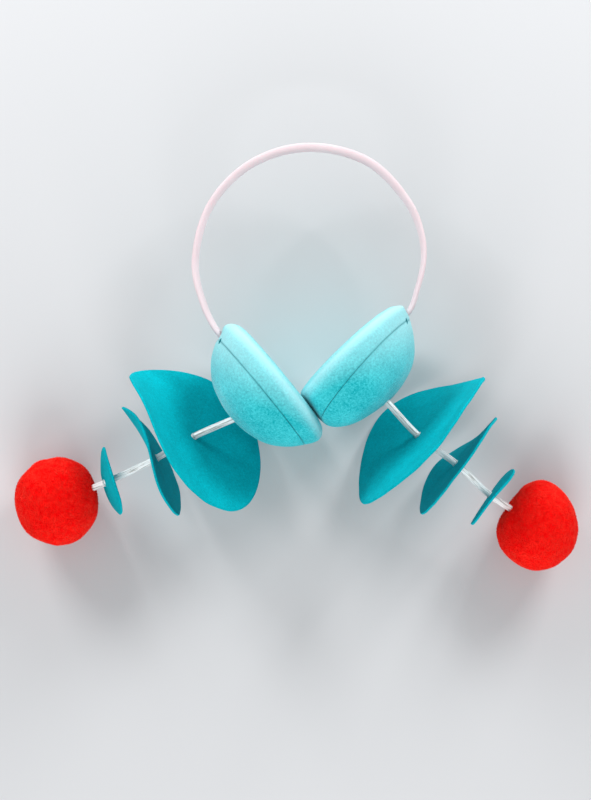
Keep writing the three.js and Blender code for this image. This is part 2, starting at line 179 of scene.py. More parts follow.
# Moulded polypropylene with a pink-white tint: satin, and milky because light goes some way in. A faint
# orange peel comes from the mould.
milkyPlastic, tree, shader = newLook("mouldedMilkyPolypropylene")
place = addNode(tree, "ShaderNodeTexCoord").outputs["Object"]
haze = addNode(tree, "ShaderNodeTexNoise", {}, {"Vector": place, "Scale": 1 / (14 * mm), "Detail": 2.0})
tint = addNode(tree, "ShaderNodeMix", {"data_type": "RGBA"}, {
    "Factor": haze.outputs["Fac"], 6: colour("#dcc9cd"), 7: colour("#e6d6da")})
tree.links.new(tint.outputs[2], shader.inputs["Base Color"])
peel = addNode(tree, "ShaderNodeTexNoise", {}, {"Vector": place, "Scale": 1 / (1.6 * mm), "Detail": 2.0})
gloss = addNode(tree, "ShaderNodeMapRange", {}, {
    "Value": peel.outputs["Fac"], "To Min": 0.5, "To Max": 0.62})
tree.links.new(gloss.outputs["Result"], shader.inputs["Roughness"])
bump = addNode(tree, "ShaderNodeBump", {}, {
    "Height": peel.outputs["Fac"], "Strength": 0.12, "Distance": 0.1 * mm})
tree.links.new(bump.outputs["Normal"], shader.inputs["Normal"])
shader.inputs["Specular IOR Level"].default_value = 0.25
shader.inputs["Subsurface Weight"].default_value = 0.35
shader.inputs["Subsurface Radius"].default_value = (1.0, 0.8, 0.85)
shader.inputs["Subsurface Scale"].default_value = 2 * mm
shader.inputs["IOR"].default_value = 1.49

# Extruded clear PVC tube: glossy, with lengthwise white streaks of painted highlight and grey painted shade.
clearPvc, tree, shader = newLook("extrudedClearPvc")
draft = addNode(tree, "ShaderNodeAttribute", {"attribute_name": "roundAndAlong"}).outputs["Vector"]
paintedStreaks = addNode(tree, "ShaderNodeTexNoise", {}, {
    "Vector": draft, "Scale": 2.6, "Detail": 3.0, "Roughness": 0.6})
tint = addNode(tree, "ShaderNodeMapRange", {}, {
    "Value": paintedStreaks.outputs["Fac"], "From Min": 0.36, "From Max": 0.5})
# painted highlight and shade: the tube's white and grey streaks
tint = addNode(tree, "ShaderNodeMix", {"data_type": "RGBA"}, {
    "Factor": tint.outputs["Result"], 6: colour("#b4b1ae"), 7: colour("#fafafa")})
tree.links.new(tint.outputs[2], shader.inputs["Base Color"])
gloss = addNode(tree, "ShaderNodeMapRange", {}, {
    "Value": paintedStreaks.outputs["Fac"], "To Min": 0.1, "To Max": 0.3})
tree.links.new(gloss.outputs["Result"], shader.inputs["Roughness"])
shader.inputs["Transmission Weight"].default_value = 0.08
shader.inputs["IOR"].default_value = 1.53

# Hot-melt glue: a milky bead, smooth and soft-edged.
meltGlue, tree, shader = newLook("cooledHotMeltGlue")
place = addNode(tree, "ShaderNodeTexCoord").outputs["Object"]
cloud = addNode(tree, "ShaderNodeTexNoise", {}, {"Vector": place, "Scale": 1 / (2 * mm), "Detail": 2.0})
tint = addNode(tree, "ShaderNodeMix", {"data_type": "RGBA"}, {
    "Factor": cloud.outputs["Fac"], 6: colour("#c9dedf"), 7: colour("#f0f6f5")})
tree.links.new(tint.outputs[2], shader.inputs["Base Color"])
gloss = addNode(tree, "ShaderNodeMapRange", {}, {
    "Value": cloud.outputs["Fac"], "To Min": 0.15, "To Max": 0.4})
tree.links.new(gloss.outputs["Result"], shader.inputs["Roughness"])
shader.inputs["Transmission Weight"].default_value = 0.5
shader.inputs["IOR"].default_value = 1.48

# Cut polyurethane foam, hidden in the cups: matte, with open cells of about a millimetre.
cutFoam, tree, shader = newLook("cutPolyurethaneFoam")
place = addNode(tree, "ShaderNodeTexCoord").outputs["Object"]
cells = addNode(tree, "ShaderNodeTexVoronoi", {}, {"Vector": place, "Scale": 1 / (1.0 * mm)})
tint = addNode(tree, "ShaderNodeMix", {"data_type": "RGBA"}, {
    "Factor": cells.outputs["Distance"], 6: colour("#d9d8d0"), 7: colour("#f5f5f0")})
tree.links.new(tint.outputs[2], shader.inputs["Base Color"])
bump = addNode(tree, "ShaderNodeBump", {}, {
    "Height": cells.outputs["Distance"], "Strength": 0.5, "Distance": 0.3 * mm})
tree.links.new(bump.outputs["Normal"], shader.inputs["Normal"])
shader.inputs["Roughness"].default_value = 0.9

# Acrylic pile of a pompom: cut yarn ends packed into a ball, matte, mottled between deeper and paler red.
# Light that goes into the fine fibres comes out near by. Its faint glow is painted light, a guess, which
# brings the pile to the brightness it has in the photo.
redPile, tree, shader = newLook("trimmedRedAcrylicPile")
place = addNode(tree, "ShaderNodeTexCoord").outputs["Object"]
tuft = addNode(tree, "ShaderNodeTexNoise", {}, {
    "Vector": place, "Scale": 1 / (3.5 * mm), "Detail": 3.0, "Roughness": 0.6})
yarn = addNode(tree, "ShaderNodeTexNoise", {}, {
    "Vector": place, "Scale": 1 / (0.6 * mm), "Detail": 3.0, "Roughness": 0.7})
mottle = addNode(tree, "ShaderNodeMath", {"operation": "MULTIPLY_ADD"}, {
    0: yarn.outputs["Fac"], 1: 0.7, 2: tuft.outputs["Fac"]})
spread = addNode(tree, "ShaderNodeMapRange", {}, {
    "Value": mottle.outputs[0], "From Min": 0.6, "From Max": 1.1})
tint = addNode(tree, "ShaderNodeMix", {"data_type": "RGBA"}, {
    "Factor": spread.outputs["Result"], 6: colour("#fc000a"), 7: colour("#ff3226")})
tree.links.new(tint.outputs[2], shader.inputs["Base Color"])
bump = addNode(tree, "ShaderNodeBump", {}, {
    "Height": yarn.outputs["Fac"], "Strength": 0.3, "Distance": 0.3 * mm})
tree.links.new(bump.outputs["Normal"], shader.inputs["Normal"])
shader.inputs["Roughness"].default_value = 0.95
shader.inputs["Specular IOR Level"].default_value = 0.05
# painted light: a faint red glow that brightens the whole pile
shader.inputs["Emission Color"].default_value = colour("#ff0000")
shader.inputs["Emission Strength"].default_value = 0.1
shader.inputs["Sheen Weight"].default_value = 0.1
shader.inputs["Sheen Tint"].default_value = colour("#ff4a38")
shader.inputs["Subsurface Weight"].default_value = 0.3
shader.inputs["Subsurface Radius"].default_value = (1.0, 0.15, 0.12)
shader.inputs["Subsurface Scale"].default_value = 2.5 * mm
print("materials are ready")

# shared shapes


def flatBearing(degrees):
    return Vector((math.cos(math.radians(degrees)), math.sin(math.radians(degrees)), 0))


def unit(rows):
    return rows / np.linalg.norm(rows, axis=-1, keepdims=True)


# Even steps along the centripetal Catmull-Rom curve through some points
def curveThrough(points, count):
    points = [Vector(point) for point in points]
    chain = [2 * points[0] - points[1], *points, 2 * points[-1] - points[-2]]
    fine = []
    for a, b, c, d in zip(chain, chain[1:], chain[2:], chain[3:]):
        ab, bc, cd = [math.sqrt((q - p).length) for p, q in ((a, b), (b, c), (c, d))]
        start = ((b - a) / ab - (c - a) / (ab + bc) + (c - b) / bc) * bc
        end = ((c - b) / bc - (d - b) / (bc + cd) + (d - c) / cd) * bc
        for t in np.arange(0, 1, 1 / 32):
            bend = 3 * (c - b) - 2 * start - end
            fine.append(b + start * t + bend * t * t + (2 * (b - c) + start + end) * t ** 3)
    fine = np.array([*fine, points[-1]])
    run = np.concatenate([[0], np.cumsum(np.linalg.norm(np.diff(fine, axis=0), axis=1))])
    even = np.linspace(0, run[-1], count)
    return np.column_stack([np.interp(even, run, fine[:, k]) for k in range(3)])


def newPiece(name, points, faces):
    mesh = bpy.data.meshes.new(name)
    mesh.from_pydata([tuple(point) for point in points], [], faces)
    solid = bmesh.new()
    solid.from_mesh(mesh)
    bmesh.ops.remove_doubles(solid, verts=solid.verts, dist=1e-7)
    bmesh.ops.recalc_face_normals(solid, faces=solid.faces)
    solid.to_mesh(mesh)
    solid.free()
    piece = bpy.data.objects.new(name, mesh)
    scene.collection.objects.link(piece)
    return piece


# The mesh that a piece's modifiers give, put in their place
def bake(piece):
    bpy.context.view_layer.update()
    seen = piece.evaluated_get(bpy.context.evaluated_depsgraph_get())
    mesh = bpy.data.meshes.new_from_object(seen)
    piece.modifiers.clear()
    old, piece.data = piece.data, mesh
    bpy.data.meshes.remove(old)
    mesh.name = piece.name


def cutWith(piece, cutter):
    cut = piece.modifiers.new("hole", "BOOLEAN")
    cut.operation = "DIFFERENCE"
    cut.solver = "EXACT"
    cut.object = cutter
    bake(piece)


def newBall(subdivisions, radius):
    # the corners of an even ball, a row each, and its faces
    ball = bmesh.new()
    bmesh.ops.create_icosphere(ball, subdivisions=subdivisions, radius=radius)
    points = np.array([vert.co[:] for vert in ball.verts])
    faces = [[vert.index for vert in face.verts] for face in ball.faces]
    ball.free()
    return points, faces


def smooth(piece, degrees=40):
    piece.data.polygons.foreach_set("use_smooth", [True] * len(piece.data.polygons))
    piece.data.set_sharp_from_angle(angle=math.radians(degrees))


def settle(piece, look, slot, *nodes):
    # its finish, the body it rides on and the CAD nodes it stands for
    piece.data.materials.clear()
    piece.data.materials.append(look)
    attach(piece, "root")
    if nodes:
        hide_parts(*nodes)


# Faces between rows of points that close on themselves, with a lid at each end
def ringFaces(rows, around, lids=True):
    faces = []
    for row in range(rows - 1):
        for i in range(around):
            j = (i + 1) % around
            a, b = row * around, (row + 1) * around
            faces.append((a + i, a + j, b + j, b + i))
    if lids:
        faces.append(tuple(reversed(range(around))))
        faces.append(tuple(range((rows - 1) * around, rows * around)))
    return faces


# The same for a tube whose last row joins its first one
def tubeFaces(rows, around):
    close = [(((rows - 1) * around + i), ((rows - 1) * around + (i + 1) % around), (i + 1) % around, i)
             for i in range(around)]
    return ringFaces(rows, around, lids=False) + close


# A table's column at a place between its rows
def readTable(table, key, value, column):
    return np.interp(value, table[key], table[column])


# cups

cup = {
    "radius": 42.3 * mm, "rimDepth": 15 * mm, "domeDepth": 22.5 * mm, "wall": 2.5 * mm, "gap": 0.3 * mm,
    # the seam's painted shade: how wide it spreads beside the gap and how strong it is
    "seamGap": 0.2 * mm, "seamRound": 0.35 * mm, "seamShadeWidth": 0.25 * mm, "seamShadeShare": 0.4,
    "dentSoftness": 1.6 * mm, "unevenness": 0.18 * mm, "unevenSize": 9 * mm, "unevenSeed": 3,
    "pucker": 2 * mm, "puckerDepth": 2.6 * mm, "puckerHeight": 7 * mm, "pit": 1.5 * mm, "pitAngle": 20,
    "around": 144, "profileSteps": 40, "faceRings": 24,
}
# How much painted highlight the felt takes, by its depth in the cup from the ear face: light falling on the
# rim. Towards the headband's hole it is more by nearHoop, and on the far side less.
highlightTable = {
    "depth": (0, 3 * mm, 8 * mm, 15 * mm, 24 * mm, 38 * mm),
    "share": (0.3, 0.72, 0.32, 0.2, 0.05, 0.0),
    "nearHoop": (0.05, 0.1, 0.3, 0.5, 0.45, 0.0),
}
# along is a share of the rim's or the dome's depth, out a share of the cup's radius
rimProfile = {
    "along": (0.00, 0.05, 0.14, 0.27, 0.45, 0.66, 0.85, 1.00),
    "out": (0.820, 0.888, 0.936, 0.979, 1.000, 0.986, 0.957, 0.926),
}
domeProfile = {
    "along": (0.00, 0.16, 0.28, 0.44, 0.66, 0.82, 0.94, 1.00),
    "out": (0.926, 0.879, 0.838, 0.769, 0.638, 0.490, 0.285, 0.110),
}
# Angles are in degrees. The seam slants by its angle, and moves and bows towards the dome. slack is how far
# the headband's hole is moved towards the inside of the hoop.
sides = {
    "left": {
        "sign": -1, "entry": 218.9, "entryDepth": 12.1 * mm, "cupTilt": 2.9,
        "seam": {"slant": 0, "shift": 0, "bow": 0}, "exitAside": 1.9 * mm, "slack": 0.7 * mm,
        "rodHeading": 205.1, "pompomHeight": 24.762 * mm, "pompomDip": 0.05,
    },
    "right": {
        "sign": 1, "entry": -26.6, "entryDepth": 8.8 * mm, "cupTilt": 6.2,
        "seam": {"slant": -5.2, "shift": 1.2 * mm, "bow": -0.6 * mm}, "exitAside": 2.7 * mm, "slack": 0,
        "rodHeading": -39.1, "pompomHeight": 25.525 * mm, "pompomDip": 0.18,
    },
}
mounts = {mount["name"]: mount for mount in frame["record"]["mounts"]}


# A cup's own frame: z along its axis from the ear face to the dome, y up, x level
def cupPlace(name):
    mount = mounts[name + "_ear_face"]
    axis = -Vector(mount["axis"]).normalized()
    level = Vector((0, 0, 1)).cross(axis).normalized()
    rise = axis.cross(level)
    return Matrix.Translation(mount["pos_m"]) @ Matrix((level, rise, axis)).transposed().to_4x4()


for name, side in sides.items():
    side["place"] = cupPlace(name)
earPoint = sides["left"]["place"].translation
earNormal = -(sides["left"]["place"].to_3x3() @ Vector((0, 0, 1)))

rimLine = np.column_stack([
    np.array(rimProfile["out"]) * cup["radius"], np.array(rimProfile["along"]) * cup["rimDepth"]])
domeLine = np.column_stack([
    np.array(domeProfile["out"]) * cup["radius"],
    cup["rimDepth"] + np.array(domeProfile["along"]) * cup["domeDepth"]])


# The outside of a half, and the inside one wall in from it, both from the axis outwards to the seam. The flat
# middle of the ear face and the blunt top of the dome are filled with rings of even width.
def cupHalf(half):
    flat = 0 if half == "rim" else domeLine[-1][1]
    profile = rimLine if half == "rim" else domeLine[::-1]
    curve = curveThrough([(r, t, 0) for r, t in profile], cup["profileSteps"])[:, :2]
    edge = curve[0][0]
    middle = [(edge * share, flat) for share in np.linspace(0, 1, cup["faceRings"])[:-1]]
    outer = np.array([*middle, *curve])
    run = unit(np.gradient(outer, axis=0))
    side = 1 if half == "rim" else -1
    inner = outer + np.column_stack([-run[:, 1], run[:, 0]]) * cup["wall"] * side
    # where the profile bends sharply, inside points that came nearer than the wall are dropped
    fromOutside = np.linalg.norm(inner[:, None] - outer[None], axis=2).min(axis=1)
    almostWall = 0.9995 * cup["wall"]
    inner = inner[fromOutside > almostWall]
    inner[:, 0] = np.maximum(inner[:, 0], 0)
    seam = outer[-1] - (0, side * cup["seamGap"] / 2)
    lip = [seam - (share * cup["seamRound"], 0) for share in (0.3, 1)]
    outer = outer[np.abs(outer[:, 1] - seam[1]) > cup["seamRound"]]
    turnOver = seam - (0.05 * cup["seamRound"], side * 0.45 * cup["seamRound"])
    inner = inner[np.abs(inner[:, 1] - seam[1]) > cup["seamRound"]]
    return np.vstack([outer, turnOver]), np.array(lip), np.vstack([inner, seam - (cup["wall"], 0)])


# How far the seam stands off its own plane, towards the dome, at places in the cup's frame
def seamOffset(points, seam):
    upper = np.maximum(points[:, 1] / cup["radius"], 0)
    return points[:, 0] * math.tan(math.radians(seam["slant"])) + seam["shift"] + seam["bow"] * upper ** 2


def bendCup(points, inside, name):
    # the seam runs a little askew round the cup, then the right cup is flattened by the left one's ear face
    side = sides[name]
    depth = cup["rimDepth"] + cup["domeDepth"]
    share = np.clip((points[:, 2] - cup["wall"]) / (depth - cup["wall"]), 0, 1)
    points[:, 2] += seamOffset(points, side["seam"]) * np.sin(math.pi * share)
    turned = np.array(side["place"].to_3x3())
    placed = points @ turned.T + np.array(side["place"].translation)
    if name == "right":
        nearest = cup["gap"] + cup["dentSoftness"] / 2 + np.where(inside, cup["wall"], 0)
        away = (placed - np.array(earPoint)) @ np.array(earNormal) - nearest
        moved = (away + np.hypot(away, cup["dentSoftness"])) / 2 - away
        placed += moved[:, None] * np.array(earNormal)
    return placed


# A smooth pseudo-random field from -1 to 1: a few sine waves that cross each other
def softField(points, size, seed):
    source = np.random.default_rng(seed)
    total = np.zeros(len(points))
    for _ in range(6):
        wave = source.normal(size=3)
        wave *= 2 * math.pi / (size * np.linalg.norm(wave) * source.uniform(0.7, 1.5))
        total += np.sin(points @ wave + source.uniform(0, 2 * math.pi))
    return total / 6


def cupPiece(name, half):
    outer, lip, inner = cupHalf(half)
    rows = np.vstack([outer, lip, inner[::-1]])
    inside = np.repeat(np.arange(len(rows)) >= len(outer) + 1, cup["around"])
    angle = np.linspace(0, 2 * math.pi, cup["around"], endpoint=False)
    depth = np.repeat(rows[:, 1:], cup["around"], axis=1)
    points = np.stack([rows[:, :1] * np.cos(angle), rows[:, :1] * np.sin(angle), depth], axis=-1)
    points = points.reshape(-1, 3)
    swell = softField(points, cup["unevenSize"], cup["unevenSeed"]) * cup["unevenness"] * ~inside
    fromHoop = ((points[:, 2] - sides[name]["entryDepth"]) / cup["puckerDepth"]) ** 2
    fromHoop += (points[:, 1] / cup["puckerHeight"]) ** 2
    swell -= cup["pucker"] * np.exp(-fromHoop) * (points[:, 0] * sides[name]["sign"] > 0)
    away = unit(points - (0, 0, cup["rimDepth"]))
    points = bendCup(points + away * swell[:, None], inside, name)
    points[:, 2] = np.maximum(points[:, 2], 0)
    return newPiece(f"cup_{half}_{name}_felt", points, ringFaces(len(rows), cup["around"], lids=False))


# A stitch hole where the seam starts, near the headband
def stitchHole(name):
    side = sides[name]
    angle = math.radians(cup["pitAngle"])
    reach = domeLine[0][0]
    seamPoint = np.array([[
        side["sign"] * reach * math.cos(angle), reach * math.sin(angle), cup["rimDepth"]]])
    side["pitPoint"] = bendCup(seamPoint, np.array([False]), name)
    points, faces = newBall(2, cup["pit"])
    return newPiece(f"stitchHole_{name}", side["pitPoint"] + points, faces)


# Writes on each point its share of painted highlight, and its share of painted shade in the seam's groove
# or the stitch hole
def markFelt(piece, side):
    placed = np.array([vert.co[:] for vert in piece.data.vertices])
    points = (placed - np.array(side["place"].translation)) @ np.array(side["place"].to_3x3())
    towardsHoop = side["sign"] * points[:, 0] / cup["radius"]
    # painted highlight: strongest on the rim's rounded edge and on the side towards the headband
    share = readTable(highlightTable, "depth", points[:, 2], "share")
    share += readTable(highlightTable, "depth", points[:, 2], "nearHoop") * towardsHoop
    depth = cup["rimDepth"] + cup["domeDepth"]
    seamFade = math.sin(math.pi * (cup["rimDepth"] - cup["wall"]) / (depth - cup["wall"]))
    fromSeam = np.abs(points[:, 2] - cup["rimDepth"] - seamOffset(points, side["seam"]) * seamFade)
    # painted shade along the seam's groove, and full painted shade in the stitch hole
    seamShade = cup["seamShadeShare"] * (1 - np.clip((fromSeam - cup["seamGap"]) / cup["seamShadeWidth"], 0, 1))
    justPastPit = 1.02 * cup["pit"]
    seamShade[np.linalg.norm(placed - side["pitPoint"], axis=1) < justPastPit] = 1
    for state, values in (("paintedHighlight", np.clip(share, 0, 1)), ("paintedSeamShade", seamShade)):
        piece.data.attributes.new(state, "FLOAT", "POINT").data.foreach_set("value", values)


# headband

hoop = {
    "radius": 65.6 * mm, "breadth": 5.4 * mm, "thickness": 3.2 * mm, "holeEase": 0.9 * mm,
    "steps": 220, "around": 24, "turnBlur": 17,
}
anchor = {"radius": 27 * mm, "thickness": 9.5 * mm, "grip": 9 * mm}
hoopCourse = {
    "at": (0, 0.05, 0.11, 0.16, 0.23, 0.35, 0.48, 0.60, 0.72, 0.84, 0.92, 1),
    "reach": (0.978, 0.978, 1.004, 1.014, 1.013, 1.018, 1.000, 0.992, 0.988, 0.989, 0.986, 1.000),
    "turn": (80, 84, 86, 80, 55, 28, 18, 35, 48, 52, 65, 78),
}


def hoopFlat(at):
    heading = sides["right"]["entry"] + (sides["left"]["entry"] - sides["right"]["entry"]) * at
    return flatBearing(heading) * hoop["radius"] * readTable(hoopCourse, "at", at, "reach")


for name, side in sides.items():
    depth = side["entryDepth"]
    reach = np.interp(depth, rimLine[:, 1], rimLine[:, 0])
    side["entryPoint"] = side["place"] @ Vector((side["sign"] * reach, 0, depth))
    side["holdPoint"] = side["place"] @ Vector((
        side["sign"] * (anchor["radius"] - anchor["grip"]), 0,
        cup["wall"] + cup["gap"] + anchor["thickness"] / 2))
hoopMiddle = sides["left"]["entryPoint"] - hoopFlat(1)
hoopMiddle.z = (sides["left"]["entryPoint"].z + sides["right"]["entryPoint"].z) / 2
hoopRoute = [
    sides["right"]["holdPoint"],
    *[hoopMiddle + hoopFlat(at) for at in hoopCourse["at"]],
    sides["left"]["holdPoint"],
]


# The hoop's oval section swept along its route, thicker by extra all round and moved inwards by so much
def hoopTube(name, extra, inwards):
    middle = curveThrough(hoopRoute, hoop["steps"])
    along = unit(np.gradient(middle, axis=0))
    outward = unit(np.cross(along, (0, 0, 1)))
    middle = middle - outward * inwards
    rise = np.cross(outward, along)
    turn = np.radians(readTable(hoopCourse, "at", np.linspace(0, 1, hoop["steps"]), "turn"))
    blur = hoop["turnBlur"]
    turn = np.convolve(np.pad(turn, blur // 2, mode="edge"), np.ones(blur) / blur, mode="valid")[:, None]
    angle = np.linspace(0, 2 * math.pi, hoop["around"], endpoint=False)
    x = np.cos(angle) * (hoop["breadth"] / 2 + extra)
    y = -np.sin(angle) * (hoop["thickness"] / 2 + extra)
    flatX = x * np.cos(turn) - y * np.sin(turn)
    flatY = x * np.sin(turn) + y * np.cos(turn)
    rings = middle[:, None] + outward[:, None] * flatX[..., None] + rise[:, None] * flatY[..., None]
    return newPiece(name, rings.reshape(-1, 3), ringFaces(hoop["steps"], hoop["around"]))


headband = hoopTube("headband_plastic", 0, 0)
smooth(headband, 60)
settle(headband, milkyPlastic, "hoop_plastic", "headband")
print("headband is made")

# rods

rod = {
    "diameter": 3.8 * mm, "bore": 1.5 * mm, "reach": 113 * mm, "rootInAnchor": 6.5 * mm,
    "steps": 90, "around": 24, "holeEase": 0.12 * mm, "overrun": 2 * mm, "streakLength": 25 * mm,
}
# at and aside are shares of the rod's reach. turn is degrees, and so is the lean of the disc's lower and
# upper edge, low and high, given for one end, the middle and the other end. bow bends both ends outwards, a
# share of the radius, and hooks bends the last part of one end. tips is how far each end loses its lean,
# which makes it pointed from above.
discs = {
    "large_left": {
        "side": "left", "diameter": 100 * mm, "at": 0.220, "aside": 0.005, "turn": 12.3, "seed": 1,
        "low": (44.2, 50.4, 42.1), "high": (11.1, 7.1, -15.4),
        "bow": -0.01, "hooks": (0, 0.12), "tips": (0, 0),
    },
    "medium_left": {
        "side": "left", "diameter": 70 * mm, "at": 0.438, "aside": -0.014, "turn": 2.3, "seed": 2,
        "low": (15.2, 6.8, 28), "high": (6.7, -2, -42),
        "bow": 0.1, "hooks": (0, 0), "tips": (1, 0.3),
    },
    "small_left": {
        "side": "left", "diameter": 40 * mm, "at": 0.724, "aside": -0.016, "turn": -10.7, "seed": 3,
        "low": (-0.9, -3.4, -0.8), "high": (-30.3, -25.5, -19.5),
        "bow": -0.2, "hooks": (0, 0), "tips": (0.2, 0.2),
    },
    "large_right": {
        "side": "right", "diameter": 100 * mm, "at": 0.232, "aside": -0.033, "turn": -5.3, "seed": 4,
        "low": (16.4, 33.6, 26.9), "high": (-9.7, 2.6, -4.3),
        "bow": 0.07, "hooks": (0, 0), "tips": (0.8, 0.3),
    },
    "medium_right": {
        "side": "right", "diameter": 70 * mm, "at": 0.472, "aside": -0.022, "turn": 1.0, "seed": 5,
        "low": (-26, 11.6, 20.8), "high": (5.7, -1.3, -6.6),
        "bow": 0.05, "hooks": (0, 0), "tips": (0.8, 0.8),
    },
    "small_right": {
        "side": "right", "diameter": 40 * mm, "at": 0.713, "aside": -0.035, "turn": 1.6, "seed": 6,
        "low": (-3.2, -7.0, -16.8), "high": (11.7, 2.8, 9.4),
        "bow": 0.07, "hooks": (0, 0), "tips": (0.2, 0.2),
    },
}


# The rod leaves the dome nearly along the cup's axis and sags until the pompom rests on the table.
def rodRoute(name):
    side = sides[name]
    depth = cup["rimDepth"] + cup["domeDepth"]
    leave = side["place"] @ Vector((-side["sign"] * side["exitAside"], 0, depth))
    chord = flatBearing(side["rodHeading"])
    aside = Vector((0, 0, 1)).cross(chord) * side["sign"]
    climb = rod["reach"] * math.tan(math.radians(side["cupTilt"]))

    def pointAt(at, off):
        point = leave + (chord * at + aside * off) * rod["reach"]
        point.z = leave.z + climb * at - (leave.z + climb - side["pompomHeight"]) * at * at
        return point

    stations = [disc for disc in discs.values() if disc["side"] == name]
    for disc in stations:
        disc["point"] = pointAt(disc["at"], disc["aside"])
    start = (stations[0]["point"] - leave).normalized()
    axis = side["place"].to_3x3() @ Vector((0, 0, 1))
    rootDepth = cup["wall"] + cup["gap"] + anchor["thickness"] - rod["rootInAnchor"]
    root = leave - start * ((depth - rootDepth) / start.dot(axis))
    return [root, leave, *[disc["point"] for disc in stations], pointAt(1, 0)]


# A tube along a route. Without a bore it is a solid cutter that runs on past both ends.
# Its points carry where they are round the tube and along it, for the painted highlight streaks.
def rodTube(name, route, extra, bore):
    middle = curveThrough(route, rod["steps"])
    along = unit(np.gradient(middle, axis=0))
    if not bore:
        middle[0] -= along[0] * rod["overrun"]
        middle[-1] += along[-1] * rod["overrun"]
    outward = unit(np.cross(along, (0, 0, 1)))
    rise = np.cross(outward, along)
    angle = np.linspace(0, 2 * math.pi, rod["around"], endpoint=False)
    across = outward[:, None] * np.cos(angle)[:, None] + rise[:, None] * np.sin(angle)[:, None]
    rings = middle[:, None] + across * (rod["diameter"] / 2 + extra)
    if not bore:
        return newPiece(name, rings.reshape(-1, 3), ringFaces(rod["steps"], rod["around"]))
    hollow = middle[:, None] + across * bore / 2
    loop = np.concatenate([rings, hollow[::-1]])
    tube = newPiece(name, loop.reshape(-1, 3), tubeFaces(len(loop), rod["around"]))
    run = np.linspace(0, rod["reach"] / rod["streakLength"], rod["steps"])
    streakPlace = np.stack(np.broadcast_arrays(np.cos(angle), np.sin(angle), run[:, None]), axis=-1)
    streakPlace = np.concatenate([streakPlace, streakPlace[::-1]]).reshape(-1, 3)
    fresh = tube.data.attributes.new("roundAndAlong", "FLOAT_VECTOR", "POINT")
    fresh.data.foreach_set("vector", streakPlace.ravel())
    return tube


cutters = []
for name, side in sides.items():
    side["route"] = rodRoute(name)
    tube = rodTube(f"rod_{name}_tube", side["route"], 0, rod["bore"])
    smooth(tube, 50)
    settle(tube, clearPvc, "clear_plastic", f"rod_{name}")
    side["rodHole"] = rodTube(f"rodHole_{name}", side["route"], rod["holeEase"], 0)
    cutters.append(side["rodHole"])
print("rods are made")

for name, side in sides.items():
    pit = stitchHole(name)
    hoopHole = hoopTube("hoopHole_" + name, hoop["holeEase"], side["slack"])
    cutters.extend([pit, hoopHole])
    for half, node in (("rim", "cup_back_"), ("dome", "cup_dome_")):
        piece = cupPiece(name, half)
        cutWith(piece, hoopHole if half == "rim" else side["rodHole"])
        cutWith(piece, pit)
        markFelt(piece, side)
        smooth(piece, 50)
        settle(piece, aquaFelt, "cup_felt", node + name)
print("cups are made")

# discs

felt = {
    "thickness": 1.4 * mm, "edgeRound": 0.4 * mm, "rings": 44, "around": 168, "leanSteps": 24,
    "ripple": 0.35 * mm, "rippleSize": 16 * mm, "hookFrom": 0.4,
}


# Value at a place across a disc, from -1 to 1, of a smooth run through the values at its ends and middle
def blendAcross(values, across):
    first, middle, last = values
    return middle + (last - first) / 2 * across + ((first + last) / 2 - middle) * across ** 2


def curlDisc(disc, across, height):
    # a flat disc's place across and up its face, bent: x across it, y through the felt, z up
    radius = disc["diameter"] / 2
    low, high = blendAcross(disc["low"], across), blendAcross(disc["high"], across)
    x = across * radius
    y = disc["bow"] * radius * across ** 2
    z = np.zeros_like(x)
    narrowing = 1 - np.sqrt(np.clip(1 - across ** 2, 0, 1))
    tips = np.where(across < 0, disc["tips"][0], disc["tips"][1]) * narrowing
    for hook, way in zip(disc["hooks"], (-1, 1)):
        pastStart = np.clip((way * across - felt["hookFrom"]) / (1 - felt["hookFrom"]), 0, None)
        y = y + hook * radius * pastStart ** 2
    for i in range(felt["leanSteps"]):
        level = height * (i + 0.5) / felt["leanSteps"]
        lean = np.radians((low + (high - low) * (level + 1) / 2) * (1 - tips))
        y = y + np.sin(lean) * height * radius / felt["leanSteps"]
        z = z + np.cos(lean) * height * radius / felt["leanSteps"]
    flat = np.stack([across * radius, height * radius, 0 * x], axis=-1)
    ripple = softField(flat, felt["rippleSize"], disc["seed"])
    y = y + ripple * felt["ripple"] * (across ** 2 + height ** 2)
    return np.stack([x, y, z], axis=-1)


def discPiece(name, disc):
    radius, half, edge = disc["diameter"] / 2, felt["thickness"] / 2, felt["edgeRound"]
    face = [(share * (radius - edge), half) for share in np.linspace(0, 1, felt["rings"])]
    turnOver = [
        (radius - edge * (1 - math.sin(a)), half - edge * (1 - math.cos(a))) for a in (0.5, 1.0, math.pi / 2)]
    rows = [*face, *turnOver]
    rows = np.array([*rows, *[(r, -h) for r, h in reversed(rows)]])
    angle = np.linspace(0, 2 * math.pi, felt["around"], endpoint=False)
    across = (rows[:, :1] * np.cos(angle) / radius).ravel()
    height = (rows[:, :1] * np.sin(angle) / radius).ravel()
    lift = np.repeat(rows[:, 1], felt["around"])
    nudge = 1e-3
    middle = curlDisc(disc, across, height)
    sideways = curlDisc(disc, across + nudge, height) - middle
    upwards = curlDisc(disc, across, height + nudge) - middle
    points = middle + unit(np.cross(upwards, sideways)) * lift[:, None]
    facing = flatBearing(sides[disc["side"]]["rodHeading"] + disc["turn"])
    across = facing.cross(Vector((0, 0, 1)))
    turned = np.array(Matrix((across, facing, (0, 0, 1))).transposed())
    points = points @ turned.T + np.array(disc["point"])
    return newPiece(f"disc_{name}_felt", points, ringFaces(len(rows), felt["around"], lids=False))


for name, disc in discs.items():
    piece = discPiece(name, disc)
    cutWith(piece, sides[disc["side"]]["rodHole"])
    smooth(piece, 60)
    settle(piece, tealFelt, "disc_felt", "disc_" + name)
print("discs are made")

# pompoms

